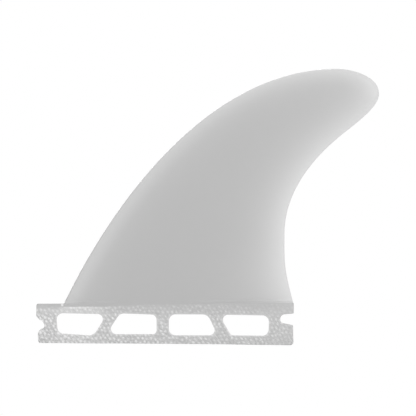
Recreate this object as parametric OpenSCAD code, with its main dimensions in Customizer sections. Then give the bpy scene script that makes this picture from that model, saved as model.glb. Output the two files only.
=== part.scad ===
// Surfboard fin with a single tab, moulded in one piece of glass-filled plastic.
// Millimetres. +X runs back from the leading edge to the trailing edge, +Y across
// the fin and +Z up from the board. The origin is the centre of the tab's bottom.

/* [Tab] */
// Length of the tab
tab_l = 123.6; // [110:0.1:140]
// Thickness of the tab
tab_t = 6.8; // [5:0.1:9]
// Height of the tab at its front end
tab_front_h = 18.8; // [17.5:0.1:24]
// Height of the tab at its rear end
tab_rear_h = 20.7; // [18:0.1:26]
// Radius of the tab's corners, seen from the side
tab_corner_r = 1; // [0.4:0.1:2]
// Radius of the tab's ends, seen from below
tab_end_r = 0.8; // [0.3:0.1:1.5]
// Radius along the tab's long edges
tab_edge_r = 0.4; // [0.2:0.05:0.8]

/* [Tab windows] */
// Height of the rail below the windows
rail_h = 4.4; // [3:0.1:6]
// Height of the windows
window_h = 9.9; // [6:0.1:11]
// Length of solid tab ahead of the windows
front_solid = 10.1; // [8:0.1:16]
// Length of solid tab behind the windows
rear_solid = 12.2; // [10:0.1:18]
// Width of the upright web in the middle
mid_web_w = 6.3; // [3:0.1:12]
// Width of each slanted web, measured along the tab
slant_web_w = 6.2; // [3:0.1:10]
// How far each slanted web leans over the height of a window
slant_lean = 6.3; // [0:0.1:9]
// Radius of the windows' square and open corners
window_r = 2.2; // [0.8:0.1:2.6]
// Radius of the windows' sharp corners, beside the slanted webs
window_sharp_r = 2.7; // [0.8:0.1:2.9]

/* [Screw notch at the front] */
// Depth of the notch
screw_notch_d = 3.9; // [2:0.1:5.5]
// Height of the notch's upper lip
screw_lip_top = 12.7; // [11.5:0.1:14]
// Height of the top of the notch's floor
screw_floor_top = 9.2; // [8.5:0.1:10]
// Height of the bottom of the notch's floor
screw_floor_bottom = 7.9; // [7:0.1:8.2]
// Height of the notch's lower lip
screw_lip_bottom = 5; // [4:0.1:5.8]
// How far the tab's front end is set back below the notch
screw_lip_back = 1; // [0:0.1:1.6]
// Radius of the lower lip
screw_lip_r = 1.7; // [0.5:0.1:2]
// Radius of the upper lip
screw_lip_top_r = 0.8; // [0.3:0.1:1.5]
// Radius inside the notch
screw_floor_r = 0.5; // [0.2:0.05:0.6]

/* [Pin notch at the rear] */
// Depth of the notch
pin_notch_d = 6.4; // [4:0.1:7.5]
// Height of the notch's middle
pin_notch_mid = 12.5; // [11:0.1:13.5]
// Width of the notch at its mouth
pin_mouth_w = 5.3; // [4.6:0.1:6.5]
// Radius of the notch's round inner end, where the pin seats
pin_seat_r = 2.1; // [1.5:0.1:2.25]

/* [Blade outline] */
// Length of the blade's base along the tab
base_l = 110; // [95:0.5:115]
// Distance from the tab's front end to the blade's leading edge
base_front = 13.2; // [5:0.1:18]
// Height of the blade above the middle of the tab's top
blade_h = 113.1; // [90:0.1:140]
// How far the tip reaches back past the base
tip_reach = 40.3; // [20:0.1:60]
// How far the blade's highest point lies ahead of the tip's end
top_lead = 19.3; // [14:0.1:26]
// How far the tip's end lies below the blade's highest point
tip_drop = 11.9; // [8:0.1:16]
// Angle of the leading edge to the board, at the base
lead_angle = 64.7; // [50:0.1:80]
// How far the trailing edge's hollow cuts in ahead of the base's rear end
hollow_in = 4.4; // [0:0.1:12]
// Height of the hollow's deepest point above the tab
hollow_h = 33.1; // [24:0.1:44]
// How far the neck, where the hollow turns into the tip, lies ahead of the tip's end
neck_lead = 14.3; // [10:0.1:20]
// How far the neck lies below the tip's end
neck_drop = 17; // [12:0.1:22]
// Angle of the trailing edge to the board, at the neck
neck_angle = 38.5; // [25:0.5:50]
// Angle of the trailing edge to the board, at the base
trail_angle = 106; // [92:0.5:125]

/* [Blade curves] */
// Pull of the leading edge's curve at the base, as a share of its reach
lead_base_pull = 0.33; // [0.2:0.01:0.45]
// Pull of the leading edge's curve at the highest point
lead_top_pull = 0.35; // [0.2:0.01:0.45]
// Pull of the tip's curve at the highest point
tip_top_pull = 0.23; // [0.15:0.01:0.5]
// Pull of the tip's curve at the tip's end, above it
tip_end_pull = 0.4; // [0.15:0.01:0.5]
// Pull of the trailing edge's curve at the base
trail_base_pull = 0.5; // [0.2:0.01:0.55]
// Pull of the trailing edge's curve below the hollow's deepest point
hollow_low_pull = 0.4; // [0.2:0.01:0.5]
// Pull of the trailing edge's curve above the hollow's deepest point
hollow_high_pull = 0.44; // [0.2:0.01:0.55]
// Pull of the trailing edge's curve below the neck
neck_low_pull = 0.18; // [0.1:0.01:0.45]
// Pull of the trailing edge's curve above the neck
neck_high_pull = 0.39; // [0.15:0.01:0.45]
// Pull of the tip's curve at the tip's end, below it
tip_low_pull = 0.24; // [0.15:0.01:0.5]

/* [Blade section] */
// Step from the tab's cheek in to the blade, on each side
shoulder = 0.1; // [0.05:0.05:0.6]
// Thickness of the blade's rim
rim_t = 0.8; // [0.5:0.05:1.5]
// Place of the thickest line across the blade, as a share of its width
thick_at = 0.32; // [0.25:0.01:0.45]
// How full the section is behind its thickest line, from a wedge at 1 upwards
rear_fullness = 2.6; // [1.4:0.1:4]
// How long the blade stays thick towards its tip, from an even taper at 1 upwards
tip_fullness = 2.8; // [1:0.1:4]

/* [Hidden] */

// Milky grey of the moulding
fin_colour = [0.74, 0.74, 0.735];

// Sides of the pin's round seat, and length of the facets on rounded corners
arc_sides = 48;
arc_facet_l = 0.4;
// The flare of the pin notch starts this far inside the seat's round
pin_throat_in = 0.1;
// Points along each curve, sections along the blade and points across each section
curve_steps = 40;
section_count = 46;
across_count = 20;
// Sections crowd towards the tip, where the outline is round
tip_crowding = 1.6;
// The blade's root reaches this far down into the tab, so that the two fuse
root_sink = 1;
// Cutters run past the faces that they cut
overrun = 1;

// Ends of the tab, slope of its top, and its height halfway along
front_x = -tab_l / 2;
rear_x = tab_l / 2;
top_slope = (tab_rear_h - tab_front_h) / tab_l;
mid_h = (tab_front_h + tab_rear_h) / 2;
tall = tab_front_h + tab_rear_h;

// Each pair of windows shares a slanted web and mirrors the other pair
pair_l = (tab_l - front_solid - rear_solid - mid_web_w) / 2;

// Corners of the blade's outline, as [x, z]
lead_x = front_x + base_front;
trail_x = lead_x + base_l;
base_lead = [lead_x, tab_top(lead_x)];
base_trail = [trail_x, tab_top(trail_x)];
tip = [trail_x + tip_reach, mid_h + blade_h - tip_drop];
top = [tip.x - top_lead, mid_h + blade_h];
neck = [tip.x - neck_lead, tip.y - neck_drop];
hollow = [trail_x - hollow_in, base_trail.y + hollow_h];
root_t = tab_t - 2 * shoulder;

function tab_top(x) = mid_h + x * top_slope;
function heading(a) = [cos(a), sin(a)];
function unit(v) = v / norm(v);

// A curve from a to b that leaves a along da and reaches b along db. Each pull is
// the share of the straight distance over which the curve holds that direction.
function bend(a, da, pull_a, pull_b, db, b) =
    [a, a + da * pull_a * norm(b - a), b - db * pull_b * norm(b - a), b];

function on_bend(c, t) =
    pow(1 - t, 3) * c[0] + 3 * pow(1 - t, 2) * t * c[1] + 3 * (1 - t) * t * t * c[2] + pow(t, 3) * c[3];

// The leading edge climbs from the base over the top of the blade to the tip, and
// the trailing edge climbs from the base through the hollow and the neck to it
lead_bends = [
    bend(base_lead, heading(lead_angle), lead_base_pull, lead_top_pull, [1, 0], top),
    bend(top, [1, 0], tip_top_pull, tip_end_pull, [0, -1], tip)
];
trail_bends = [
    bend(base_trail, heading(trail_angle), trail_base_pull, hollow_low_pull, [0, 1], hollow),
    bend(hollow, [0, 1], hollow_high_pull, neck_low_pull, heading(neck_angle), neck),
    bend(neck, heading(neck_angle), neck_high_pull, tip_low_pull, [0, 1], tip)
];

function edge_points(bends) = concat(
    [bends[0][0]],
    [for (c = bends) for (i = [1 : curve_steps]) on_bend(c, i / curve_steps)]
);

// Distance run along an edge at each of its points
function runs(p) = [
    for (i = 0, d = 0; i < len(p); d = i + 1 < len(p) ? d + norm(p[i + 1] - p[i]) : d, i = i + 1) d
];

// Points of an edge at the blade's sections, spaced by distance along the edge
function stations(bends) =
    let (
        p = edge_points(bends),
        d = runs(p),
        xs = [for (i = [0 : len(p) - 1]) [d[i], p[i].x]],
        zs = [for (i = [0 : len(p) - 1]) [d[i], p[i].y]]
    )
    [for (j = [0 : section_count])
        let (run = d[len(d) - 1] * (1 - pow(1 - j / section_count, tip_crowding)))
        [lookup(run, xs), lookup(run, zs)]
    ];

lead = stations(lead_bends);
trail = stations(trail_bends);

// Half the blade's thickness at share u across section j
function widest(j) =
    rim_t + (root_t - rim_t) * (1 - pow(1 - min(1, norm(trail[j] - lead[j]) / base_l), tip_fullness));
function swell(u) = u < thick_at
    ? sqrt(1 - pow(1 - u / thick_at, 2))
    : 1 - pow((u - thick_at) / (1 - thick_at), rear_fullness);
function half_t(j, u) = (rim_t + (widest(j) - rim_t) * swell(u)) / 2;

// Shares across a section, closest together at both edges
across = [for (i = [0 : across_count]) (1 - cos(180 * i / across_count)) / 2];

// One closed loop round the blade: back along one side and forward along the other
function section(j, sink) = concat(
    [for (u = across) let (p = lead[j] + (trail[j] - lead[j]) * u) [p.x, half_t(j, u), p.y - sink]],
    [for (i = [across_count : -1 : 0])
        let (u = across[i], p = lead[j] + (trail[j] - lead[j]) * u) [p.x, -half_t(j, u), p.y - sink]]
);

// Points of the arc that rounds corner c, between the corners before and after it
function arc(before, c, after) =
    let (
        p = [c[0], c[1]],
        a = unit([before[0], before[1]] - p),
        b = unit([after[0], after[1]] - p),
        half = acos(a * b) / 2,
        centre = p + unit(a + b) * c[2] / sin(half),
        from = p + a * c[2] / tan(half) - centre,
        to = p + b * c[2] / tan(half) - centre,
        sweep = (180 - 2 * half) * sign(cross(from, to)),
        steps = max(3, ceil(c[2] * abs(sweep) * PI / 180 / arc_facet_l))
    )
    [for (k = [0 : steps]) centre + c[2] * heading(atan2(from.y, from.x) + sweep * k / steps)];

// A shape with rounded corners, each given as [x, y, radius]
module rounded(corners) {
    n = len(corners);
    polygon([for (i = [0 : n - 1]) each arc(corners[(i + n - 1) % n], corners[i], corners[(i + 1) % n])]);
}

// Outline of the tab from the side, with the screw notch in its front end
module tab_outline() {
    rounded([
        [front_x + screw_lip_back, 0, tab_corner_r],
        [rear_x, 0, tab_corner_r],
        [rear_x, tab_rear_h, tab_corner_r],
        [front_x, tab_front_h, tab_corner_r],
        [front_x, screw_lip_top, screw_lip_top_r],
        [front_x + screw_notch_d, screw_floor_top, screw_floor_r],
        [front_x + screw_notch_d, screw_floor_bottom, screw_floor_r],
        [front_x + screw_lip_back, screw_lip_bottom, screw_lip_r]
    ]);
}

// Two windows with a slanted web between them, starting at x = 0
module window_pair() {
    bottom = rail_h;
    high = rail_h + window_h;
    web_front = (pair_l - slant_web_w) / 2;
    web_rear = web_front + slant_web_w;
    lean = slant_lean / 2;
    rounded([
        [0, bottom, window_r], [web_front - lean, bottom, window_r],
        [web_front + lean, high, window_sharp_r], [0, high, window_r]
    ]);
    rounded([
        [web_rear - lean, bottom, window_sharp_r], [pair_l, bottom, window_r],
        [pair_l, high, window_r], [web_rear + lean, high, window_r]
    ]);
}

// Open notch that a cross pin enters from behind: a round seat and a flared mouth
module pin_notch() {
    throat = pin_seat_r - pin_throat_in;
    flare = (pin_mouth_w / 2 - throat) / (pin_notch_d - pin_seat_r);
    mouth = pin_mouth_w / 2 + flare * overrun;
    reach = pin_notch_d - pin_seat_r + overrun;
    translate([rear_x - pin_notch_d + pin_seat_r, pin_notch_mid]) {
        circle(pin_seat_r, $fn = arc_sides);
        polygon([[0, -throat], [reach, -mouth], [reach, mouth], [0, throat]]);
    }
}

// The side view of the tab with all its openings
module tab_side() {
    difference() {
        tab_outline();
        translate([front_x + front_solid, 0]) window_pair();
        translate([rear_x - rear_solid, 0]) mirror([1, 0]) window_pair();
        pin_notch();
    }
}

// A bar along X that rounds the tab's two long edges at its lower side
module edge_bar() {
    rotate([90, 0, 90])
        linear_extrude(2 * tab_l, center = true)
            rounded([
                [-tab_t / 2, 0, tab_edge_r], [tab_t / 2, 0, tab_edge_r],
                [tab_t / 2, tall, tab_edge_r], [-tab_t / 2, tall, tab_edge_r]
            ]);
}

// A post that rounds the tab's ends, seen from below
module end_post() {
    linear_extrude(2 * tall, center = true)
        rounded([
            [front_x, -tab_t / 2, tab_end_r], [rear_x, -tab_t / 2, tab_end_r],
            [rear_x, tab_t / 2, tab_end_r], [front_x, tab_t / 2, tab_end_r]
        ]);
}

module tab() {
    intersection() {
        rotate([90, 0, 0]) linear_extrude(tab_t, center = true) tab_side();
        edge_bar();
        translate([0, 0, mid_h]) rotate([0, -atan(top_slope), 0]) mirror([0, 0, 1]) edge_bar();
        end_post();
    }
}

// The foil: one skin lofted through all the sections, closed at the root and the tip
module blade() {
    loop = 2 * (across_count + 1);
    rows = section_count + 1;
    points = concat(
        section(0, root_sink),
        [for (j = [0 : section_count - 1]) each section(j, 0)],
        [[tip.x, rim_t / 2, tip.y], [tip.x, -rim_t / 2, tip.y]]
    );
    left_end = rows * loop;
    right_end = left_end + 1;
    last = (rows - 1) * loop;
    mid = across_count + 1;
    faces = concat(
        [[for (i = [loop - 1 : -1 : 0]) i]],
        [for (j = [0 : rows - 2]) for (i = [0 : loop - 1]) each
            let (a = j * loop + i, b = j * loop + (i + 1) % loop)
            [[a, b, a + loop], [b, b + loop, a + loop]]
        ],
        [for (i = [0 : across_count - 1]) [last + i, last + i + 1, left_end]],
        [for (i = [mid : loop - 2]) [last + i, last + i + 1, right_end]],
        [[last + across_count, last + mid, left_end], [last + mid, right_end, left_end]],
        [[last + loop - 1, last, right_end], [last, left_end, right_end]]
    );
    polyhedron(points, faces, convexity = 4);
}

module fin() {
    color(fin_colour)
        union() {
            tab();
            blade();
        }
}

fin();
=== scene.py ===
"""Looks for a surfboard fin that is moulded in one piece of glass-filled plastic.

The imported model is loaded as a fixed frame. One moulded piece stands for its only node, and shows the milky
plastic of the blade and the glass fibres that surface in the tab. Lengths are in metres, apart from those that
are said to be in millimetres.
"""

import math

import bmesh
import bpy
import numpy as np
from mathutils import Matrix, Vector, geometry, kdtree, noise


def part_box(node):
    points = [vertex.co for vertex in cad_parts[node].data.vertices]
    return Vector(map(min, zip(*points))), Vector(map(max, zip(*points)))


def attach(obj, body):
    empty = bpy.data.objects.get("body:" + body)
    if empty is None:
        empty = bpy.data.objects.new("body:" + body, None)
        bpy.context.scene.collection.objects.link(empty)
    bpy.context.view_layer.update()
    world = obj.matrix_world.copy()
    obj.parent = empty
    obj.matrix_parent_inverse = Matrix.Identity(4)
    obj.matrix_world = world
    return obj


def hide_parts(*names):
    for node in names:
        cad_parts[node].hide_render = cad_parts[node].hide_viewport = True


bl_info = {
    "name": "Moulded Surfboard Fin",
    "version": (1, 0, 0),
    "blender": (4, 5, 0),
    "location": "View3D > Sidebar > Fin",
    "description": "Makes a moulded surfboard fin, its plastic and a plain studio for it",
    "category": "Add Mesh",
}

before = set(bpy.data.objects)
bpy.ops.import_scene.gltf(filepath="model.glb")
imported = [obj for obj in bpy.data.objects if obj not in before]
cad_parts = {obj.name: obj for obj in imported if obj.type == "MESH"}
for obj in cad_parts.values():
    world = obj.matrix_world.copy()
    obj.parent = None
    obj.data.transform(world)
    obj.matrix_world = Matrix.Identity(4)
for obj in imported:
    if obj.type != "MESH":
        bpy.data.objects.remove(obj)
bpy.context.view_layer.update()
FIN_LOW, FIN_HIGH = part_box("fin")

MM = 0.001
NODE = "fin"
PIECE = "moulded_fin"
SLOT = "glass_filled_plastic"


def length(name, description, default):
    """A size in metres that the sidebar shows as a length."""
    return bpy.props.FloatProperty(
        name=name, description=description, default=default, min=0.0, unit="LENGTH", precision=5
    )


def share(name, description, default):
    """A plain number, such as a share of a width."""
    return bpy.props.FloatProperty(name=name, description=description, default=default, min=0.0, precision=3)


def angle(name, description, degrees):
    """An angle, given in degrees."""
    return bpy.props.FloatProperty(name=name, description=description, default=math.radians(degrees), unit="ROTATION")


def grey(name, description, level):
    """A neutral colour, given as its level on screen from 0 to 255, which the sRGB curve turns linear."""
    value = ((level / 255 + 0.055) / 1.055) ** 2.4
    return bpy.props.FloatVectorProperty(
        name=name, description=description, default=(value, value, value), size=3, min=0.0, max=1.0, subtype="COLOR"
    )


class FinTabSizes(bpy.types.PropertyGroup):
    """Sizes of the mounting tab."""

    length: length("Length", "Length of the tab", 123.6 * MM)
    thickness: length("Thickness", "Thickness of the tab", FIN_HIGH[1] - FIN_LOW[1])
    front_height: length("Front height", "Height of the tab at its front end", 18.8 * MM)
    rear_height: length("Rear height", "Height of the tab at its rear end", 20.7 * MM)
    corner_radius: length("Corner radius", "Radius of the tab's upper corners, seen from the side", 1.0 * MM)
    edge_radius: length("Edge radius", "Radius along the tab's outer edges", 0.4 * MM)
    top_edge_radius: length("Top edge radius", "Radius along the tab's top, beside the blade", 0.1 * MM)
    window_edge_radius: length("Window edge radius", "Radius along the edges of the windows", 0.2 * MM)
    foot_wear: length("Foot wear", "How far the worn stretch of the tab's foot has gone", 0.15 * MM)


class FinBladeSizes(bpy.types.PropertyGroup):
    """Sizes of the blade."""

    base: length("Base", "Length of the blade's base along the tab", 110.0 * MM)
    base_front: length("Base from the front", "Distance from the tab's front end to the leading edge", 13.2 * MM)
    height: length("Height", "Height of the blade above the middle of the tab's top", 113.1 * MM)
    tip_reach: length("Tip reach", "How far the tip reaches back past the base", 40.3 * MM)
    top_lead: length("Top lead", "How far the highest point lies ahead of the tip's end", 19.3 * MM)
    tip_drop: length("Tip drop", "How far the tip's end lies below the highest point", 11.9 * MM)
    hollow_in: length(
        "Hollow depth", "How far the trailing edge's hollow cuts in ahead of the base's rear end", 4.4 * MM
    )
    hollow_height: length("Hollow height", "Height of the hollow's deepest point above the tab", 33.1 * MM)
    neck_lead: length("Neck lead", "How far the neck lies ahead of the tip's end", 14.3 * MM)
    neck_drop: length("Neck drop", "How far the neck lies below the tip's end", 17.0 * MM)
    lead_angle: angle("Leading edge angle", "Angle of the leading edge to the board, at the base", 64.7)
    trail_angle: angle("Trailing edge angle", "Angle of the trailing edge to the board, at the base", 106.0)
    neck_angle: angle("Neck angle", "Angle of the trailing edge to the board, at the neck", 38.5)
    shoulder: length("Shoulder", "Step from the tab's cheek in to the blade, on each side", 0.1 * MM)
    rim: length("Rim", "Thickness of the blade's rim", 0.8 * MM)
    thick_at: share("Thickest at", "Place of the thickest line, as a share of the width", 0.32)
    rear_fullness: share("Rear fullness", "How full the section is behind its thickest line", 2.6)
    tip_fullness: share("Tip fullness", "How long the blade stays thick towards its tip", 2.8)


class FinFinish(bpy.types.PropertyGroup):
    """Colours and surface of the plastic."""

    thick_colour: grey("Thick plastic", "Colour where the plastic is thickest", 180.6)
    thin_colour: grey("Thin plastic", "Colour where the plastic is thin and lets light through", 219.6)
    fibre_colour: grey("Fibres", "Colour of the glass fibres that surface in the tab", 232)
    band: length("Band", "Height of the smooth band along the top of the tab", 1.5 * MM)
    roughness: share("Roughness", "Roughness of the blade", 0.42)


# How far the blade is sunk into the tab, before the two are made one skin
ROOT_SINK = 1 * MM
# Faces across and along the blade, how much shorter they grow towards its tip, and steps of each of its edge curves
ACROSS = 64
ALONG = 128
TIP_CROWDING = 2.2
CURVE_STEPS = 900
# Length of a facet in the tab's arcs, the fewest facets in an arc, and cuts along its foot
ARC_FACET = 0.3 * MM
FEWEST_FACETS = 3
FOOT_CUTS = 280
# Steps in the softening of the tab's edges: round the windows, round the outside and beside the blade
WINDOW_STEPS = 2
OUTER_STEPS = 3
TOP_STEPS = 2
# Points nearer than this are one point, or lie on the line that is asked about
TINY = 1e-7
# Two faces that meet at more than this angle, in radians, have an edge between them that is softened
SHARP = 1.0
# Shading stays smooth where faces meet at less than this angle
SMOOTH_UP_TO = math.radians(40)

# The worn stretch of the tab's foot. A tooth in it has a length, a width across the tab, and more or less wear.
WORN_FROM = -32 * MM
WORN_TO = 44 * MM
WORN_FADE = 12 * MM
TOOTH_LENGTH = 0.9 * MM
TOOTH_WIDTH = 2.7 * MM
TOOTH_WEAR = 0.8

# Pull of each curve at its two ends, as shares of the straight distance between them
LEAD_PULLS = ((0.33, 0.35), (0.23, 0.40))
TRAIL_PULLS = ((0.50, 0.40), (0.44, 0.18), (0.39, 0.24))

# Corners down the tab's front end and up its rear end, as (x from that end, z, radius) in millimetres. The front end
# has the notch for a set screw, and the rear end the notch for a cross pin.
FRONT_END = (
    (0.0, 12.85, 0.7), (1.6, 11.05, 0.35), (2.6, 10.9, 0.35), (3.85, 9.0, 1.4), (3.95, 7.25, 1.1),
    (0.7, 6.2, 3.2), (1.1, 0.0, 1.1),
)
REAR_END = ((0.0, 0.0, 1.6), (-0.3, 9.7, 0.45), (-6.55, 10.8, 1.7), (-6.35, 14.6, 2.3), (0.0, 15.2, 0.5))

# Corners of the four windows, front to rear, as (x, z, radius) in millimetres. The mould has left each its own shape.
WINDOWS = (
    ((-51.3, 4.7, 3.0), (-34.2, 3.8, 4.4), (-27.9, 14.05, 2.5), (-52.4, 14.4, 3.1)),
    ((-28.2, 4.5, 2.6), (-3.9, 4.8, 1.9), (-4.1, 14.05, 2.5), (-21.6, 14.5, 3.5)),
    ((1.95, 4.3, 3.0), (25.4, 4.45, 2.5), (20.4, 14.4, 4.0), (1.85, 14.3, 3.2)),
    ((31.8, 4.5, 1.9), (49.7, 4.45, 3.1), (50.0, 14.15, 3.2), (25.8, 14.35, 2.5)),
)


def tab_top(tab, x):
    """Height of the tab's sloping top at x."""
    return (tab.front_height + tab.rear_height) / 2 + x * (tab.rear_height - tab.front_height) / tab.length


def heading(radians):
    return Vector((math.cos(radians), math.sin(radians)))


def bend(start, leaves, pulls, arrives, end):
    """A curve's two ends and handles, in the order that interpolate_bezier takes them."""
    reach = (end - start).length
    return start, start + leaves * pulls[0] * reach, end - arrives * pulls[1] * reach, end


def edge_points(bends):
    points = [bends[0][0]]
    for curve in bends:
        points += geometry.interpolate_bezier(*curve, CURVE_STEPS + 1)[1:]
    return points


def blade_edges(tab, blade):
    """Points along the leading and the trailing edge, both from the base to the tip's end."""
    lead_x = blade.base_front - tab.length / 2
    trail_x = lead_x + blade.base
    middle_height = (tab.front_height + tab.rear_height) / 2
    base_lead = Vector((lead_x, tab_top(tab, lead_x)))
    base_trail = Vector((trail_x, tab_top(tab, trail_x)))
    top = Vector((trail_x + blade.tip_reach - blade.top_lead, middle_height + blade.height))
    tip = Vector((trail_x + blade.tip_reach, top.y - blade.tip_drop))
    neck = tip - Vector((blade.neck_lead, blade.neck_drop))
    hollow = base_trail + Vector((-blade.hollow_in, blade.hollow_height))
    back, up, down = Vector((1, 0)), Vector((0, 1)), Vector((0, -1))
    neck_way = heading(blade.neck_angle)
    lead = edge_points([
        bend(base_lead, heading(blade.lead_angle), LEAD_PULLS[0], back, top),
        bend(top, back, LEAD_PULLS[1], down, tip),
    ])
    trail = edge_points([
        bend(base_trail, heading(blade.trail_angle), TRAIL_PULLS[0], up, hollow),
        bend(hollow, up, TRAIL_PULLS[1], neck_way, neck),
        bend(neck, neck_way, TRAIL_PULLS[2], up, tip),
    ])
    return lead, trail


def stations(points, shares):
    """Points of an edge at the given shares of the distance along it."""
    line = np.array([tuple(p) for p in points])
    run = np.concatenate(([0.0], np.cumsum(np.hypot(*np.diff(line, axis=0).T))))
    wanted = run[-1] * shares
    return [Vector(p) for p in zip(np.interp(wanted, run, line[:, 0]), np.interp(wanted, run, line[:, 1]))]


def swell(blade, across):
    """Thickness at a share of the width from the leading edge, as a share of the thickest."""
    if across < blade.thick_at:
        return math.sqrt(max(0.0, 1 - (1 - across / blade.thick_at) ** 2))
    return 1 - ((across - blade.thick_at) / (1 - blade.thick_at)) ** blade.rear_fullness


def rounding(distance, radius):
    """Rises from 0 at the rim to 1 at one radius in from it, as a quarter circle does."""
    return math.sqrt(1 - (1 - min(1.0, distance / radius)) ** 2)


def blade_mesh(tab, blade):
    """The foil: half a sheet laid over the outline, swollen by its section and mirrored."""
    lead, trail = blade_edges(tab, blade)
    shares = 1 - (1 - np.arange(ALONG + 1) / ALONG) ** TIP_CROWDING
    lead_stations, trail_stations = stations(lead, shares), stations(trail, shares)
    outline = kdtree.KDTree(len(lead) + len(trail))
    for index, point in enumerate(lead + trail):
        outline.insert(point.to_3d(), index)
    outline.balance()
    root = tab.thickness - 2 * blade.shoulder

    bm = bmesh.new()
    bmesh.ops.create_grid(bm, x_segments=ACROSS, y_segments=ALONG, size=0.5)
    for vert in bm.verts:
        row = round((vert.co.y + 0.5) * ALONG)
        across = (1 - math.cos(math.pi * (vert.co.x + 0.5))) / 2
        chord = trail_stations[row] - lead_stations[row]
        point = lead_stations[row] + chord * across
        taper = 1 - (1 - min(1.0, chord.length / blade.base)) ** blade.tip_fullness
        nearness = rounding(outline.find(point.to_3d())[2], blade.rim / 2)
        half = blade.rim / 2 * nearness + (root - blade.rim) / 2 * taper * swell(blade, across)
        on_rim = across < TINY or across > 1 - TINY or row == ALONG
        vert.co = (point.x, 0.0 if on_rim else half, min(point.y, FIN_HIGH[2]))
        if row == 0:
            vert.select = True
    root_edges = [e for e in bm.edges if e.verts[0].select and e.verts[1].select]
    sunk = bmesh.ops.extrude_edge_only(bm, edges=root_edges)["geom"]
    bmesh.ops.translate(bm, verts=[g for g in sunk if isinstance(g, bmesh.types.BMVert)], vec=(0, 0, -ROOT_SINK))
    bmesh.ops.mirror(bm, geom=bm.verts[:] + bm.edges[:] + bm.faces[:], axis="Y", merge_dist=TINY)
    bmesh.ops.remove_doubles(bm, verts=bm.verts[:], dist=TINY)
    bmesh.ops.holes_fill(bm, edges=[e for e in bm.edges if e.is_boundary], sides=0)
    bmesh.ops.recalc_face_normals(bm, faces=bm.faces[:])
    return bm


def rounded_loop(bm, corners):
    """Edges of a closed loop in the XZ plane through corners of (x, z, radius), with an arc spun at each."""
    ends, edges = [], []
    for index, (x, z, radius) in enumerate(corners):
        here = Vector((x, 0, z))
        before, after = corners[index - 1], corners[(index + 1) % len(corners)]
        towards_before = (Vector((before[0], 0, before[1])) - here).normalized()
        towards_after = (Vector((after[0], 0, after[1])) - here).normalized()
        half = towards_before.angle(towards_after) / 2
        centre = here + (towards_before + towards_after).normalized() * radius / math.sin(half)
        start = bm.verts.new(here + towards_before * radius / math.tan(half))
        turn = math.pi - 2 * half
        axis = (-towards_before).cross(towards_after).normalized()
        steps = max(FEWEST_FACETS, math.ceil(radius * turn / ARC_FACET))
        known = set(bm.edges)
        spun = bmesh.ops.spin(bm, geom=[start], cent=centre, axis=axis, angle=turn, steps=steps)["geom_last"]
        edges += [e for e in bm.edges if e not in known]
        ends.append((start, next(g for g in spun if isinstance(g, bmesh.types.BMVert))))
    for index, (start, _) in enumerate(ends):
        edges.append(bm.edges.new((ends[index - 1][1], start)))
    return edges


def tab_corners(tab):
    """Corners of the tab's outline: down the front end, along the foot, up the rear end and back along the top."""
    front = [(x * MM - tab.length / 2, z * MM, radius * MM) for x, z, radius in FRONT_END]
    rear = [(x * MM + tab.length / 2, z * MM, radius * MM) for x, z, radius in REAR_END]
    top = [
        (tab.length / 2, tab.rear_height, tab.corner_radius),
        (-tab.length / 2, tab.front_height, tab.corner_radius),
    ]
    return front + rear + top


def wear(tab, x, y):
    """How far the tab's foot has worn away: a little in one stretch, and unevenly, as the fibres stand out there."""
    stretch = min(1.0, max(0.0, (x - WORN_FROM) / WORN_FADE), max(0.0, (WORN_TO - x) / WORN_FADE))
    tooth = noise.noise((x / TOOTH_LENGTH, y / TOOTH_WIDTH, 0.0))
    return tab.foot_wear * stretch * (1 + TOOTH_WEAR * tooth)


def soften(bm, edges, radius, segments):
    bmesh.ops.bevel(
        bm, geom=edges, offset=radius, offset_type="OFFSET", segments=segments, profile=0.5, affect="EDGES",
        clamp_overlap=False, material=-1,
    )


def rim_edges(bm):
    """Edges where the tab's cheeks meet its walls."""
    return [e for e in bm.edges if abs(e.verts[0].co.y - e.verts[1].co.y) < TINY and e.calc_face_angle(0) > SHARP]


def tab_mesh(tab):
    """The tab: its outline and windows filled as one plate, given its thickness and softened along its edges."""
    bm = bmesh.new()
    outline = rounded_loop(bm, tab_corners(tab))
    foot = [e for e in outline if max(v.co.z for v in e.verts) < TINY and e.calc_length() > tab.length / 2]
    outline += [
        g for g in bmesh.ops.subdivide_edges(bm, edges=foot, cuts=FOOT_CUTS)["geom_inner"]
        if isinstance(g, bmesh.types.BMEdge)
    ]
    for corners in WINDOWS:
        rounded_loop(bm, [tuple(size * MM for size in corner) for corner in corners])
    in_outline = bm.verts.layers.int.new("in_outline")
    for edge in outline:
        for vert in edge.verts:
            vert[in_outline] = 1
    bmesh.ops.triangle_fill(bm, use_beauty=True, use_dissolve=False, edges=bm.edges[:], normal=(0, 1, 0))
    bmesh.ops.translate(bm, verts=bm.verts[:], vec=(0, -tab.thickness / 2, 0))
    raised = bmesh.ops.extrude_face_region(bm, geom=bm.faces[:])["geom"]
    bmesh.ops.translate(
        bm, verts=[g for g in raised if isinstance(g, bmesh.types.BMVert)], vec=(0, tab.thickness, 0)
    )
    bmesh.ops.recalc_face_normals(bm, faces=bm.faces[:])
    soften(bm, [e for e in rim_edges(bm) if not e.verts[0][in_outline]], tab.window_edge_radius, WINDOW_STEPS)
    along_top = [
        e for e in rim_edges(bm)
        if e.verts[0][in_outline] and all(abs(v.co.z - tab_top(tab, v.co.x)) < 10 * TINY for v in e.verts)
    ]
    outside = [e for e in rim_edges(bm) if e.verts[0][in_outline] and e not in along_top]
    soften(bm, outside, tab.edge_radius, OUTER_STEPS)
    soften(bm, [e for e in along_top if e.is_valid], tab.top_edge_radius, TOP_STEPS)
    for vert in bm.verts:
        if vert.co.z < 2 * tab.edge_radius:
            vert.co.z += wear(tab, vert.co.x, vert.co.y)
    return bm


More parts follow.
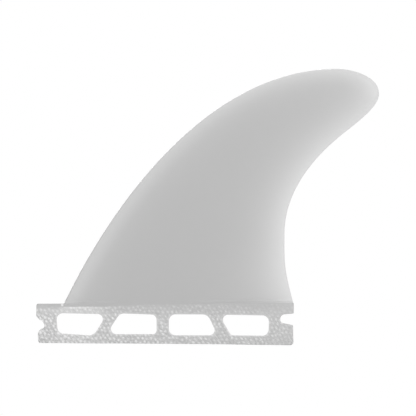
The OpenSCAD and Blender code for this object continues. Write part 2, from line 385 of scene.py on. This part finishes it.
def mark_distances(piece, tab, blade):
    """Store how far each point lies from the leading edge, the trailing edge and the tip, for the plastic to read."""
    edges = blade_edges(tab, blade)
    tip = edges[0][-1]
    for name, points in (("from_lead", edges[0]), ("from_trail", edges[1]), ("from_tip", [tip])):
        tree = kdtree.KDTree(len(points))
        for index, point in enumerate(points):
            tree.insert(point.to_3d(), index)
        tree.balance()
        layer = piece.data.attributes.new(name, "FLOAT", "POINT")
        layer.data.foreach_set("value", [tree.find((v.co.x, v.co.z, 0.0))[2] for v in piece.data.vertices])


def mesh_object(name, bm):
    mesh = bpy.data.meshes.new(name)
    bm.to_mesh(mesh)
    bm.free()
    piece = bpy.data.objects.new(name, mesh)
    bpy.context.scene.collection.objects.link(piece)
    return piece


def fuse(piece, other):
    """Join two closed shapes into one skin, and drop the second."""
    union = piece.modifiers.new("union", "BOOLEAN")
    union.operation, union.solver, union.object = "UNION", "EXACT", other
    joined = bpy.data.meshes.new_from_object(piece.evaluated_get(bpy.context.evaluated_depsgraph_get()))
    piece.modifiers.clear()
    piece.data = joined
    bpy.data.objects.remove(other)


def shade(piece, sharpest):
    """Smooth shading, broken where faces meet at more than the sharpest angle."""
    piece.data.shade_smooth()
    piece.data.set_sharp_from_angle(angle=sharpest)
    weigh = piece.modifiers.new("weighted normals", "WEIGHTED_NORMAL")
    weigh.keep_sharp = True


class Maker:
    """Adds nodes to a material's or the world's tree, and links them."""

    def __init__(self, tree):
        self.tree = tree
        tree.nodes.clear()

    def add(self, kind, inputs=(), **settings):
        node = self.tree.nodes.new(kind)
        for name, value in settings.items():
            setattr(node, name, value)
        for socket, value in dict(inputs).items():
            if isinstance(value, bpy.types.NodeSocket):
                self.tree.links.new(value, node.inputs[socket])
            else:
                node.inputs[socket].default_value = value
        return node

    def math(self, operation, *values, clamp=False):
        return self.add("ShaderNodeMath", dict(enumerate(values)), operation=operation, use_clamp=clamp).outputs[0]

    def plus(self, first, second):
        return self.math("ADD", first, second)

    def minus(self, first, second):
        return self.math("SUBTRACT", first, second)

    def times(self, first, second):
        return self.math("MULTIPLY", first, second)

    def times_plus(self, first, second, third):
        return self.math("MULTIPLY_ADD", first, second, third)

    def vector(self, operation, first, second):
        return self.add("ShaderNodeVectorMath", {0: first, 1: second}, operation=operation).outputs

    def remap(self, value, low, high, to_low=0.0, to_high=1.0):
        inputs = {"Value": value, "From Min": low, "From Max": high, "To Min": to_low, "To Max": to_high}
        return self.add("ShaderNodeMapRange", inputs, interpolation_type="SMOOTHSTEP").outputs["Result"]

    def slope(self, value, start, end, before=0.0, after=1.0):
        """A smooth change from one level to another, between two places in millimetres."""
        return self.remap(value, start * MM, end * MM, before, after)

    def patch(self, value, start, end, fade_in, fade_out):
        """1 between two places and 0 outside them, with soft ends, all in millimetres."""
        return self.times(self.slope(value, start, start + fade_in), self.slope(value, end - fade_out, end, 1.0, 0.0))

    def mix(self, factor, first, second):
        node = self.add("ShaderNodeMix", {"Factor": factor}, data_type="RGBA")
        for name, value in (("A", first), ("B", second)):
            socket = next(s for s in node.inputs if s.name == name and s.type == "RGBA")
            if isinstance(value, bpy.types.NodeSocket):
                self.tree.links.new(value, socket)
            else:
                socket.default_value = (*value, 1.0)
        return next(s for s in node.outputs if s.type == "RGBA")


# In the rest of the material's settings, a slope is (start, end, level before, level after), a patch is (start, end,
# length of its soft start, length of its soft end) and a fade is (level, reach, power). Their lengths are in
# millimetres: along the tab, down from its top, up from its foot, in from the blade's edges and its tip, or out from
# a window's edge and the speck's middle.

# Light through the nose, where the plastic is bevelled, and painted shade along its rim: a darker line where the rim
# turns away from the light
NOSE_BEVEL = (1.7, 9.1, 0.275, 0.0)
NOSE_FADE = (0.323, 11.5, 1.71)
NOSE_RIM_SHADE = (0.2, 1.1, -0.24, 0.0)
# Towards the tip, the nose's light gives way to a narrower one along the edge
TIP_SPAN = (1.0, 133.0, 2.0)
TIP_EDGE = (0.955, 3.8, 1.0)
# Light along the trailing edge, and how much wider it spreads low on the blade
TRAIL_FADE = (0.963, 10.1, 1.18)
TRAIL_SPREAD = (-38.0, -6.0, 1.0, 0.79)
# The share of that light in the thick tab
TAB_LIGHT = (-0.2, 0.7, 1.0, 0.25)
# A painted highlight, a pale line at the step from the blade to the tab: how bright it is, where along the tab it
# shows, at what depth below the tab's top, and how far it rises towards the rear
STEP_HIGHLIGHT = 0.17
STEP_HIGHLIGHT_FRONT = (-32.0, -19.0, 1.0, 0.0)
STEP_HIGHLIGHT_REAR = (4.0, 24.0, 0.0, 1.0)
STEP_HIGHLIGHT_LINE = (-1.6, 0.15, 1.2, 0.2)
STEP_HIGHLIGHT_RISE = (40.0, 60.0, 0.0, 0.6 * MM)


def glow(make, depth):
    """How much light comes through the plastic: most along the blade's edges and in its tip, where it is thin, less a
    painted shade along the nose's rim.
    """
    lead, trail, tip = (
        make.add("ShaderNodeAttribute", attribute_name=name).outputs["Fac"]
        for name in ("from_lead", "from_trail", "from_tip")
    )

    def fade(distance, level, reach, power):
        spent = make.math("POWER", make.math("DIVIDE", distance, reach * MM), power)
        return make.times(make.math("EXPONENT", make.times(spent, -1.0)), level)

    towards_tip = fade(tip, *TIP_SPAN)
    nose = make.plus(make.slope(lead, *NOSE_BEVEL), fade(lead, *NOSE_FADE))
    # Painted shade: the darker line along the nose's rim
    nose = make.plus(nose, make.slope(lead, *NOSE_RIM_SHADE))
    nose = make.times(nose, make.minus(1.0, towards_tip))
    edge = make.times(fade(lead, *TIP_EDGE), towards_tip)
    lead_dark = make.minus(1.0, make.plus(nose, edge))
    trail = make.times(trail, make.slope(depth, *TRAIL_SPREAD))
    trail_dark = make.minus(1.0, fade(trail, *TRAIL_FADE))
    return make.math("SUBTRACT", 1.0, make.times(lead_dark, trail_dark), clamp=True)


def light_through(make, axes, depth):
    """The blade's glow, dimmed in the tab, with a painted highlight, a pale line, above the step."""
    # Painted highlight: a pale line along the step from the blade to the tab
    step = make.plus(make.slope(axes["X"], *STEP_HIGHLIGHT_FRONT), make.slope(axes["X"], *STEP_HIGHLIGHT_REAR))
    line = make.patch(make.plus(depth, make.slope(axes["X"], *STEP_HIGHLIGHT_RISE)), *STEP_HIGHLIGHT_LINE)
    light = make.times(glow(make, depth), make.slope(depth, *TAB_LIGHT))
    return make.times_plus(make.times(step, line), STEP_HIGHLIGHT, light)


# The glass cloth: how its two sets of threads lean from the tab's length, and the distance from thread to thread
THREAD_LEAN = math.radians(60)
THREAD_PITCH = 1.88 * MM
# How far the threads wander, and how fine the noise is that leads them: slowly over about 9 mm, then over 1.5 mm
DRIFT = 0.85 * MM
DRIFT_SCALE = 110.0
SHAKE = 0.2 * MM
SHAKE_SCALE = 700.0
# How far the pattern moves along and up, as shares of the way through the tab's thickness
SLANT = (0.9, 0.8)
# The bright dash where two threads cross: its jitter as a share of the pitch, its lean, its length and its width
DASH_JITTER = 0.42
DASH_LEAN = math.radians(42)
DASH_LENGTH = 0.66 * MM
DASH_WIDTH = 0.46 * MM
# A dash's least brightness, and how much more it may have by chance
DASH_LEAST = 0.55
DASH_CHANCE = 0.7
# Shares of the cloth's height that the haze, the dashes at the tab's front and rear, and the fine streaks give
HAZE = 0.22
DASHES = (FIN_LOW[0] / MM, 55.0, 1.02, 0.68)
STREAKS = 0.75
STREAK_SIZE = (1.0 * MM, 1.0 * MM, 0.3 * MM)


def cloth(make, place, axes):
    """The glass cloth that shows in the tab, as a height of about 0 to 1."""
    drift = make.add("ShaderNodeTexNoise", {"Vector": place, "Scale": DRIFT_SCALE, "Detail": 1.0})
    shake = make.add("ShaderNodeTexNoise", {"Vector": place, "Scale": SHAKE_SCALE, "Detail": 1.0})
    drift, shake = (
        make.add("ShaderNodeSeparateXYZ", {0: noise_node.outputs["Color"]}).outputs for noise_node in (drift, shake)
    )

    def woven(level, slant, axis):
        level = make.times_plus(axes["Y"], slant, level)
        level = make.times_plus(drift[axis], 2 * DRIFT, level)
        return make.times_plus(shake[axis], 2 * SHAKE, level)

    across = make.times(woven(axes["X"], SLANT[0], "X"), math.sin(THREAD_LEAN) / THREAD_PITCH)
    up = make.times(woven(axes["Z"], SLANT[1], "Y"), math.cos(THREAD_LEAN) / THREAD_PITCH)
    threads = {"X": make.plus(up, across), "Y": make.minus(up, across)}
    threads = make.add("ShaderNodeCombineXYZ", threads).outputs[0]
    crossing = make.add(
        "ShaderNodeTexVoronoi", {"Vector": threads, "Scale": 1.0, "Randomness": DASH_JITTER},
        voronoi_dimensions="2D",
    ).outputs
    away = make.vector("SUBTRACT", threads, crossing["Position"])[0]

    def share_of(lean, reach):
        """Square of the distance from the crossing along one way, as a share of the reach."""
        step_x = math.cos(lean) * THREAD_PITCH / (2 * math.sin(THREAD_LEAN)) / reach
        step_z = math.sin(lean) * THREAD_PITCH / (2 * math.cos(THREAD_LEAN)) / reach
        along = make.vector("DOT_PRODUCT", away, (step_x + step_z, step_z - step_x, 0.0))["Value"]
        return make.times(along, along)

    spread = make.plus(share_of(-DASH_LEAN, DASH_LENGTH), share_of(math.pi / 2 - DASH_LEAN, DASH_WIDTH))
    dash = make.math("EXPONENT", make.times(spread, -1.0))
    chance = make.add("ShaderNodeSeparateXYZ", {0: crossing["Color"]}).outputs["X"]
    dash = make.times(dash, make.times_plus(chance, DASH_CHANCE, DASH_LEAST))
    turned = make.add(
        "ShaderNodeMapping", {"Vector": place, "Rotation": (0.0, DASH_LEAN, 0.0), "Scale": STREAK_SIZE},
        vector_type="TEXTURE",
    ).outputs[0]
    streaks = make.add("ShaderNodeTexNoise", {"Vector": turned, "Scale": 1.0, "Detail": 1.0}).outputs["Fac"]
    streaks = make.times_plus(streaks, 2 * STREAKS, HAZE - STREAKS)
    return make.times_plus(dash, make.slope(axes["X"], *DASHES), streaks)


# How strongly the cloth shows near the tab's top, and its share of that at the two ends
UPPER_CLOTH = (-45.0, -5.0, 0.52, 0.36)
UPPER_FRONT = (-54.0, -48.0, 0.75, 1.0)
UPPER_REAR = (20.0, 50.0, 1.0, 0.7)
# How strongly it shows lower down and from what depth, and its share of all that at the tab's front and rear
LOWER_CLOTH = 0.88
LOWER_FROM = (1.5, 9.0)
FRONT_CLOTH = (-62.0, -38.0, 1.35, 1.04)
REAR_CLOTH = (28.0, 55.0, 1.0, 0.86)
# A bright row of threads above the first window, in a wider pale patch
ABOVE_WINDOW = (-53.0, -22.0, 4.0, 14.0)
ROW = (1.3, 3.2, 0.6, 1.4)
ROW_LEVEL = 0.25
ROW_CLOTH = 0.5
PALE_PATCH = (1.5, 6.5, 1.0, 2.0)
PALE_PATCH_LEVEL = 0.13
# How much paler or darker the tab is towards its ends, and low down at its front end
PALE_FRONT = (-40.0, -15.0, 0.07, 0.0)
DARK_REAR = (20.0, 50.0, 0.0, -0.03)
DARK_FRONT = (-55.0, -48.0, -0.2, 0.0)
DARK_FRONT_FROM = (3.0, 9.0)
# The smooth band along the top: its share of its full height, its softer and lower stretch at the front end, and
# the soft lower edge of it
BAND = (-32.0, -8.0, 1.0, 0.5)
BAND_FRONT = (-52.0, -48.0, 1.0, 0.0)
BAND_FRONT_LOWER = 0.25
BAND_EDGE = (-0.3 * MM, 0.6 * MM)
BAND_FRONT_SOFTER = 1.6 * MM
# Paler plastic along the rims of the cheeks and at the tab's front, and none of it in the blade
RIM_WIDTH = 0.45
RIM_SOFT = (0.1, 0.2)
RIM_LEVEL = 0.2
PALE_BAND = (-44.0, -32.0, 1.0, 0.0)
PALE_BAND_LEVEL = 0.07
TAB_ONLY = (-0.05, 0.0)
# The smooth border round each window, and how much paler it is below the window than above it. The paler lower side
# is painted light, standing in for the lit bottom wall inside the window.
BORDER = (0.1, 1.0, 0.6, 0.0)
BORDER_TONE_AND_PAINTED_LIGHT = (6.0, 12.0, 0.74, 0.52)
# A bright speck in the tab's top, ahead of the blade
SPECK_PLACE = (-49.4 * MM, 0.0, 18.25 * MM)
SPECK = (0.35, 0.85, 0.85, 0.0)


def from_windows(make, axes):
    """Distance out from the edge of the nearest window, and below 0 inside it.

    A window's sides meet in SMOOTH_MAX, which lies a sixth of its blend above both of them at their corner, and
    the corner's arc lies that far in from the sides.
    """
    nearest = None
    for corners in WINDOWS:
        places = [Vector((x, z)) * MM for x, z, _ in corners]
        ways = [(places[(index + 1) % len(places)] - here).normalized() for index, here in enumerate(places)]
        sides = []
        for here, way in zip(places, ways):
            across = make.times_plus(axes["X"], way.y, here.y * way.x - here.x * way.y)
            sides.append(make.times_plus(axes["Z"], -way.x, across))
        edge = None
        for index, (_, _, radius) in enumerate(corners):
            turn = ways[index - 1].angle(ways[index])
            blend = 6 * radius * MM * (1 - math.cos(turn / 2))
            corner = make.math("SMOOTH_MAX", sides[index - 1], sides[index], blend)
            edge = corner if edge is None else make.math("MAXIMUM", edge, corner)
        nearest = edge if nearest is None else make.math("MINIMUM", nearest, edge)
    return nearest


def cloth_in_tab(make, axes, depth, height):
    """The cloth's height at its strength in each place, with the paler and darker parts of the tab."""
    upper = make.times(make.slope(axes["X"], *UPPER_CLOTH), make.slope(axes["X"], *UPPER_REAR))
    upper = make.times(upper, make.slope(axes["X"], *UPPER_FRONT))
    strength = make.times_plus(make.slope(depth, *LOWER_FROM), make.minus(LOWER_CLOTH, upper), upper)
    strength = make.times(strength, make.slope(axes["X"], *FRONT_CLOTH))
    strength = make.times(strength, make.slope(axes["X"], *REAR_CLOTH))

    above_window = make.patch(axes["X"], *ABOVE_WINDOW)
    row = make.times(make.patch(depth, *ROW), ROW_LEVEL)
    strength = make.times_plus(make.times(row, above_window), ROW_CLOTH, strength)
    veil = make.times(make.plus(row, make.times(make.patch(depth, *PALE_PATCH), PALE_PATCH_LEVEL)), above_window)
    veil = make.plus(veil, make.slope(axes["X"], *PALE_FRONT))
    veil = make.plus(veil, make.slope(axes["X"], *DARK_REAR))
    veil = make.times_plus(make.slope(axes["X"], *DARK_FRONT), make.slope(depth, *DARK_FRONT_FROM), veil)
    return make.times_plus(height, strength, veil)


def below_band(make, axes, depth, band_height):
    """0 in the smooth band along the tab's top and in the blade, and 1 below the band."""
    front = make.slope(axes["X"], *BAND_FRONT)
    band = make.times_plus(front, -BAND_FRONT_LOWER, make.slope(axes["X"], *BAND))
    past = make.minus(depth, make.times(band, band_height))
    return make.remap(past, BAND_EDGE[0], make.times_plus(front, BAND_FRONT_SOFTER, BAND_EDGE[1]))


def fibres_shown(make, place, axes, depth, band_height):
    """How much of the fibres' colour shows: the cloth in the tab, its pale rims and borders, with painted light on
    the borders' lower sides, and the bright speck.
    """
    shown = cloth_in_tab(make, axes, depth, cloth(make, place, axes))
    cheek = FIN_HIGH[1] / MM
    rim = make.patch(make.math("ABSOLUTE", axes["Y"]), cheek - RIM_WIDTH, cheek, *RIM_SOFT)
    paler = make.times_plus(make.slope(axes["X"], *PALE_BAND), PALE_BAND_LEVEL, make.times(rim, RIM_LEVEL))
    paler = make.times(paler, make.slope(depth, *TAB_ONLY))
    shown = make.times_plus(shown, below_band(make, axes, depth, band_height), paler)
    border = make.slope(from_windows(make, axes), *BORDER)
    # The smooth border round each window, with painted light on its lower side from the window's lit bottom wall
    shown = make.times_plus(make.minus(make.slope(axes["Z"], *BORDER_TONE_AND_PAINTED_LIGHT), shown), border, shown)
    side_view = make.add("ShaderNodeCombineXYZ", {"X": axes["X"], "Z": axes["Z"]}).outputs[0]
    speck_distance = make.vector("DISTANCE", side_view, SPECK_PLACE)["Value"]
    return make.math("ADD", shown, make.slope(speck_distance, *SPECK), clamp=True)


# The surface's fine grain, how much the fibres stand out against it, and the height of it all
GRAIN_SCALE = 900.0
FIBRE_RELIEF = 3.0
RELIEF_HEIGHT = 0.04 * MM
RELIEF_STRENGTH = 0.3


def plastic(finish, tab):
    """Milky glass-filled plastic: lighter where it is thin, with the glass cloth showing in the tab."""
    material = bpy.data.materials.new(SLOT)
    material.use_nodes = True
    make = Maker(material.node_tree)
    place = make.add("ShaderNodeTexCoord").outputs["Object"]
    axes = make.add("ShaderNodeSeparateXYZ", {0: place}).outputs
    rise = (tab.rear_height - tab.front_height) / tab.length
    top = make.times_plus(axes["X"], rise, (tab.front_height + tab.rear_height) / 2)
    depth = make.minus(top, axes["Z"])
    milk = make.mix(light_through(make, axes, depth), tuple(finish.thick_colour), tuple(finish.thin_colour))
    shown = fibres_shown(make, place, axes, depth, finish.band)

    grain = make.add("ShaderNodeTexNoise", {"Vector": place, "Scale": GRAIN_SCALE, "Detail": 2.0}).outputs["Fac"]
    relief = make.times_plus(shown, FIBRE_RELIEF, grain)
    bump = make.add(
        "ShaderNodeBump", {"Strength": RELIEF_STRENGTH, "Distance": RELIEF_HEIGHT, "Height": relief}
    ).outputs["Normal"]
    shader = make.add(
        "ShaderNodeBsdfPrincipled",
        {
            "Base Color": make.mix(shown, milk, tuple(finish.fibre_colour)), "Roughness": finish.roughness,
            "IOR": 1.5, "Subsurface Weight": 0.1, "Subsurface Radius": (1.0, 1.0, 1.0),
            "Subsurface Scale": 1 * MM, "Normal": bump,
        },
    )
    make.add("ShaderNodeOutputMaterial", {"Surface": shader.outputs[0]})
    return material


class FIN_OT_mould(bpy.types.Operator):
    """Make the moulded fin, blade and tab in one skin"""

    bl_idname = "fin.mould"
    bl_label = "Mould the fin"

    def execute(self, context):
        scene = context.scene
        piece = mesh_object(PIECE, tab_mesh(scene.fin_tab))
        blade = mesh_object("blade", blade_mesh(scene.fin_tab, scene.fin_blade))
        fuse(piece, blade)
        mark_distances(piece, scene.fin_tab, scene.fin_blade)
        piece.data.materials.clear()
        piece.data.materials.append(plastic(scene.fin_finish, scene.fin_tab))
        shade(piece, SMOOTH_UP_TO)
        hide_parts(NODE)
        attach(piece, "root")
        return {"FINISHED"}


FLOOR_SIZE = 6.0
PAPER_TONES = ((0.93, 0.93, 0.93), (0.96, 0.96, 0.96))
PAPER_SCALE = 40.0
# The camera: the width that it sees, the x and z that it looks at, its roll, its distance and its clipping
VIEW_WIDTH = 0.19968
VIEW_CENTRE = (0.02016, 0.06548)
VIEW_ROLL = math.radians(0.52)
VIEW_DISTANCE = 1.2
VIEW_CLIP = (0.01, 20.0)
# Strength of the world's soft light
SKY = 0.6
# Each lamp's name, place, width and power in watts
LAMPS = (
    ("front_softbox", (0.4, -2.0, 0.5), 1.2, 13.8),
    ("rear_softbox", (-0.4, 2.0, 0.6), 1.2, 13.0),
    ("top_softbox", (0.1, -0.1, 2.1), 1.5, 8.0),
)


class FIN_OT_stage(bpy.types.Operator):
    """Make the floor, the light and the camera"""

    bl_idname = "fin.stage"
    bl_label = "Set the stage"

    def execute(self, context):
        scene = context.scene
        scene.view_settings.view_transform = "Standard"

        bm = bmesh.new()
        bmesh.ops.create_grid(bm, x_segments=1, y_segments=1, size=FLOOR_SIZE / 2)
        floor = mesh_object("floor", bm)
        paper = bpy.data.materials.new("white_paper")
        paper.use_nodes = True
        make = Maker(paper.node_tree)
        place = make.add("ShaderNodeTexCoord").outputs["Object"]
        grain = make.add("ShaderNodeTexNoise", {"Vector": place, "Scale": PAPER_SCALE})
        tone = make.mix(grain.outputs["Fac"], *PAPER_TONES)
        sheet = make.add("ShaderNodeBsdfDiffuse", {"Color": tone})
        make.add("ShaderNodeOutputMaterial", {"Surface": sheet.outputs[0]})
        floor.data.materials.append(paper)

        world = bpy.data.worlds.new("studio")
        world.use_nodes = True
        make = Maker(world.node_tree)
        path = make.add("ShaderNodeLightPath").outputs
        seen = make.math("MAXIMUM", path["Is Camera Ray"], path["Is Glossy Ray"])
        seen = make.math("MAXIMUM", seen, path["Is Transmission Ray"])
        soft = make.add("ShaderNodeBackground", {"Color": (1, 1, 1, 1), "Strength": SKY})
        white = make.add("ShaderNodeBackground", {"Color": (1, 1, 1, 1), "Strength": 1.0})
        both = make.add("ShaderNodeMixShader", {0: seen, 1: soft.outputs[0], 2: white.outputs[0]})
        make.add("ShaderNodeOutputWorld", {"Surface": both.outputs[0]})
        scene.world = world

        target = Vector((VIEW_CENTRE[0], 0, VIEW_CENTRE[1]))
        for name, place, size, power in LAMPS:
            lamp = bpy.data.lights.new(name, "AREA")
            lamp.shape, lamp.size, lamp.size_y, lamp.energy = "RECTANGLE", size, size, power
            softbox = bpy.data.objects.new(name, lamp)
            softbox.location = place
            softbox.rotation_euler = (target - softbox.location).to_track_quat("-Z", "Y").to_euler()
            scene.collection.objects.link(softbox)

        view = bpy.data.cameras.new("camera")
        view.type, view.ortho_scale = "ORTHO", VIEW_WIDTH
        view.clip_start, view.clip_end = VIEW_CLIP
        camera = bpy.data.objects.new("camera", view)
        upright = Matrix.Rotation(math.radians(90), 4, "X") @ Matrix.Rotation(VIEW_ROLL, 4, "Z")
        camera.matrix_world = Matrix.Translation((VIEW_CENTRE[0], -VIEW_DISTANCE, VIEW_CENTRE[1])) @ upright
        scene.collection.objects.link(camera)
        scene.camera = camera
        return {"FINISHED"}


GROUPS = (
    ("fin_tab", FinTabSizes, "Tab"),
    ("fin_blade", FinBladeSizes, "Blade"),
    ("fin_finish", FinFinish, "Finish"),
)
OPERATORS = (FIN_OT_stage, FIN_OT_mould)


class FIN_PT_sidebar(bpy.types.Panel):
    """Sizes, colours and makers of the fin"""

    bl_idname = "FIN_PT_sidebar"
    bl_label = "Surfboard fin"
    bl_space_type = "VIEW_3D"
    bl_region_type = "UI"
    bl_category = "Fin"

    def draw(self, context):
        for operator in OPERATORS:
            self.layout.operator(operator.bl_idname)
        for name, group, title in GROUPS:
            box = self.layout.box()
            box.label(text=title)
            for prop in group.__annotations__:
                box.prop(getattr(context.scene, name), prop)


def register():
    for name, group, _ in GROUPS:
        bpy.utils.register_class(group)
        setattr(bpy.types.Scene, name, bpy.props.PointerProperty(type=group))
    for operator in OPERATORS:
        bpy.utils.register_class(operator)
    bpy.utils.register_class(FIN_PT_sidebar)


def unregister():
    bpy.utils.unregister_class(FIN_PT_sidebar)
    for operator in reversed(OPERATORS):
        bpy.utils.unregister_class(operator)
    for name, group, _ in reversed(GROUPS):
        delattr(bpy.types.Scene, name)
        bpy.utils.unregister_class(group)


def main():
    register()
    bpy.ops.fin.stage()
    bpy.ops.fin.mould()


if __name__ == "__main__":
    main()
